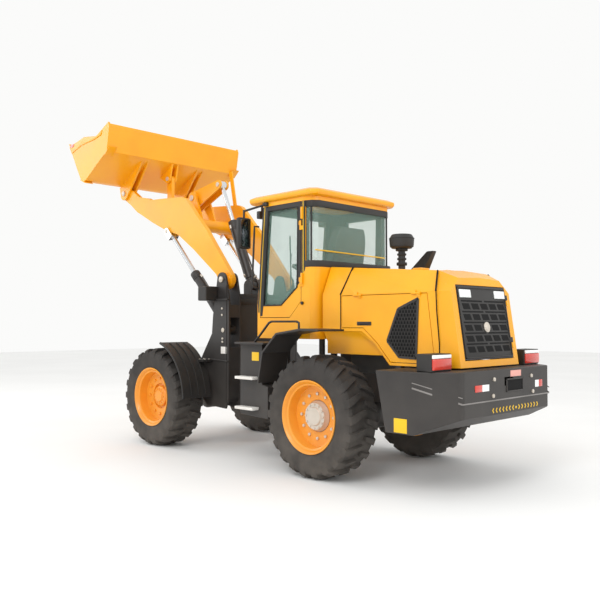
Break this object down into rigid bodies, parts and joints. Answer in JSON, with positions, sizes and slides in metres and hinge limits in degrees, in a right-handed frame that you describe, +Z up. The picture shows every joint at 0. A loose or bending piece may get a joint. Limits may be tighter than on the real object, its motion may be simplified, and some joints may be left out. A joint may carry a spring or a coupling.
{
  "type": "wheel loader",
  "caption": "Compact articulated wheel loader with a raised boom and bucket, an enclosed cab and an engine hood.",
  "frame": {"origin": "ground level under the middle of the machine's bounding box", "axes": "+Z up, -Y to the machine's front (bucket end), +X to the machine's left"},
  "size_m": [2.2, 6.219, 4.13],
  "materials": {
    "yellow_paint": "gloss",
    "black_paint": "satin",
    "grey_paint": "satin",
    "tyre_rubber": "matte",
    "chrome_rod": "polished",
    "cast_steel": "rough",
    "cab_glass": "clear",
    "seat_cover": "matte",
    "trim_plastic": "matte"
  },
  "bodies": {
    "rear": {"rear_frame": "black_paint", "rear_axle": "black_paint", "engine": "cast_steel", "counterweight": "grey_paint", "tail_lamp_left": "trim_plastic", "tail_lamp_right": "trim_plastic", "hood": "yellow_paint", "cab_shell": "yellow_paint", "cab_roof": "yellow_paint", "right_glass": "cab_glass", "windscreen": "cab_glass", "rear_glass": "cab_glass", "operator_seat": "seat_cover", "steering_column": "trim_plastic", "step_tank_left": "grey_paint", "step_tank_right": "grey_paint", "rear_fender_left": "black_paint", "rear_fender_right": "black_paint", "air_cleaner": "trim_plastic", "exhaust_stack": "black_paint", "mirror_left": "trim_plastic", "mirror_right": "trim_plastic"},
    "front": {"front_frame": "black_paint", "front_axle": "black_paint", "front_fender_left": "black_paint", "front_fender_right": "black_paint", "headlight_left": "trim_plastic", "headlight_right": "trim_plastic"},
    "front_wheel_left": {"front_tyre_left": "tyre_rubber", "front_rim_left": "yellow_paint"},
    "front_wheel_right": {"front_tyre_right": "tyre_rubber", "front_rim_right": "yellow_paint"},
    "rear_wheel_left": {"rear_tyre_left": "tyre_rubber", "rear_rim_left": "yellow_paint"},
    "rear_wheel_right": {"rear_tyre_right": "tyre_rubber", "rear_rim_right": "yellow_paint"},
    "lift_barrel_left": {"lift_barrel_left": "black_paint"},
    "lift_rod_left": {"lift_rod_left": "chrome_rod"},
    "steer_barrel_left": {"steer_barrel_left": "black_paint"},
    "steer_rod_left": {"steer_rod_left": "chrome_rod"},
    "side_door_left": {"side_door_left": "yellow_paint"},
    "lift_barrel_right": {"lift_barrel_right": "black_paint"},
    "lift_rod_right": {"lift_rod_right": "chrome_rod"},
    "steer_barrel_right": {"steer_barrel_right": "black_paint"},
    "steer_rod_right": {"steer_rod_right": "chrome_rod"},
    "side_door_right": {"side_door_right": "yellow_paint"},
    "boom": {"boom": "yellow_paint"},
    "crank": {"bell_crank": "yellow_paint"},
    "link": {"bucket_link": "yellow_paint"},
    "bucket": {"bucket": "yellow_paint"},
    "tilt_barrel": {"tilt_barrel": "black_paint"},
    "tilt_rod": {"tilt_rod": "chrome_rod"},
    "cab_door": {"cab_door": "yellow_paint", "door_glass": "cab_glass"},
    "rear_door": {"rear_grille_door": "black_paint"}
  },
  "joints": [
    {"name": "articulation", "type": "hinge", "parent": "rear", "child": "front", "pos_m": [0, 0.2045, 0.72], "axis": [0, 0, 1], "range_deg": [-35, 35]},
    {"name": "front_wheel_left_spin", "type": "hinge", "parent": "front", "child": "front_wheel_left", "pos_m": [0.82, -1.1455, 0.5875], "axis": [1, 0, 0], "continuous": true},
    {"name": "front_wheel_right_spin", "type": "hinge", "parent": "front", "child": "front_wheel_right", "pos_m": [-0.82, -1.1455, 0.5875], "axis": [1, 0, 0], "continuous": true},
    {"name": "rear_wheel_left_spin", "type": "hinge", "parent": "rear", "child": "rear_wheel_left", "pos_m": [0.82, 1.5545, 0.5875], "axis": [1, 0, 0], "continuous": true},
    {"name": "rear_wheel_right_spin", "type": "hinge", "parent": "rear", "child": "rear_wheel_right", "pos_m": [-0.82, 1.5545, 0.5875], "axis": [1, 0, 0], "continuous": true},
    {"name": "boom_lift", "type": "hinge", "parent": "front", "child": "boom", "pos_m": [0, -0.3305, 2.003], "axis": [1, 0, 0], "range_deg": [0, 70]},
    {"name": "bucket_tilt", "type": "hinge", "parent": "boom", "child": "bucket", "pos_m": [0, -2.5955, 3.32], "axis": [-1, 0, 0], "range_deg": [-100, 25]},
    {"name": "crank_turn", "type": "hinge", "parent": "boom", "child": "crank", "pos_m": [0, -1.5355, 3.176], "axis": [-1, 0, 0], "range_deg": [-12, 38]},
    {"name": "link_turn", "type": "hinge", "parent": "bucket", "child": "link", "pos_m": [0, -2.2065, 3.542], "axis": [-1, 0, 0], "range_deg": [-15, 52]},
    {"name": "lift_barrel_left_turn", "type": "hinge", "parent": "front", "child": "lift_barrel_left", "pos_m": [0.465, -0.2955, 1.4], "axis": [1, 0, 0], "range_deg": [-1, 63]},
    {"name": "lift_rod_left_slide", "type": "slide", "parent": "lift_barrel_left", "child": "lift_rod_left", "axis": [0, -0.695, 0.719], "range_m": [-0.68, 0.02]},
    {"name": "steer_barrel_left_turn", "type": "hinge", "parent": "rear", "child": "steer_barrel_left", "pos_m": [0.36, 0.6245, 0.62], "axis": [0, 0, 1], "range_deg": [-17, 17]},
    {"name": "steer_rod_left_slide", "type": "slide", "parent": "steer_barrel_left", "child": "steer_rod_left", "axis": [-0.0971, -0.9953, 0], "range_m": [-0.2, 0.2]},
    {"name": "lift_barrel_right_turn", "type": "hinge", "parent": "front", "child": "lift_barrel_right", "pos_m": [-0.465, -0.2955, 1.4], "axis": [1, 0, 0], "range_deg": [-1, 63]},
    {"name": "lift_rod_right_slide", "type": "slide", "parent": "lift_barrel_right", "child": "lift_rod_right", "axis": [0, -0.695, 0.719], "range_m": [-0.68, 0.02]},
    {"name": "steer_barrel_right_turn", "type": "hinge", "parent": "rear", "child": "steer_barrel_right", "pos_m": [-0.36, 0.6245, 0.62], "axis": [0, 0, 1], "range_deg": [-17, 17]},
    {"name": "steer_rod_right_slide", "type": "slide", "parent": "steer_barrel_right", "child": "steer_rod_right", "axis": [0.0971, -0.9953, 0], "range_m": [-0.2, 0.2]},
    {"name": "tilt_barrel_turn", "type": "hinge", "parent": "front", "child": "tilt_barrel", "pos_m": [0, -0.4255, 1.95], "axis": [1, 0, 0], "range_deg": [-1, 74]},
    {"name": "tilt_rod_slide", "type": "slide", "parent": "tilt_barrel", "child": "tilt_rod", "axis": [0, -0.4106, 0.9118], "range_m": [-0.28, 0.08]},
    {"name": "cab_door_hinge", "type": "hinge", "parent": "rear", "child": "cab_door", "pos_m": [0.6605, 1.1065, 2.15], "axis": [0, 0, 1], "range_deg": [0, 95]},
    {"name": "side_door_left_hinge", "type": "hinge", "parent": "rear", "child": "side_door_left", "pos_m": [0.5705, 2.1045, 1.755], "axis": [0, -1, 0], "range_deg": [0, 75]},
    {"name": "side_door_right_hinge", "type": "hinge", "parent": "rear", "child": "side_door_right", "pos_m": [-0.5705, 2.1045, 1.755], "axis": [0, 1, 0], "range_deg": [0, 75]},
    {"name": "rear_door_hinge", "type": "hinge", "parent": "rear", "child": "rear_door", "pos_m": [-0.417, 2.91898, 1.25154], "axis": [0, -0.1464, 0.9892], "range_deg": [0, 105]}
  ],
  "couplings": [
    {"joint": "crank_turn", "follows": "bucket_tilt", "ratio": -0.36},
    {"joint": "link_turn", "follows": "bucket_tilt", "ratio": -0.5},
    {"joint": "lift_barrel_left_turn", "follows": "boom_lift", "ratio": 0.877},
    {"joint": "lift_rod_left_slide", "follows": "boom_lift", "m_per_rad": -0.54},
    {"joint": "steer_barrel_left_turn", "follows": "articulation", "ratio": 0.445},
    {"joint": "steer_rod_left_slide", "follows": "articulation", "m_per_rad": -0.313},
    {"joint": "lift_barrel_right_turn", "follows": "boom_lift", "ratio": 0.877},
    {"joint": "lift_rod_right_slide", "follows": "boom_lift", "m_per_rad": -0.54},
    {"joint": "steer_barrel_right_turn", "follows": "articulation", "ratio": 0.445},
    {"joint": "steer_rod_right_slide", "follows": "articulation", "m_per_rad": 0.313},
    {"joint": "tilt_barrel_turn", "follows": "boom_lift", "ratio": 1.037},
    {"joint": "tilt_rod_slide", "follows": "bucket_tilt", "m_per_rad": 0.155}
  ]
}
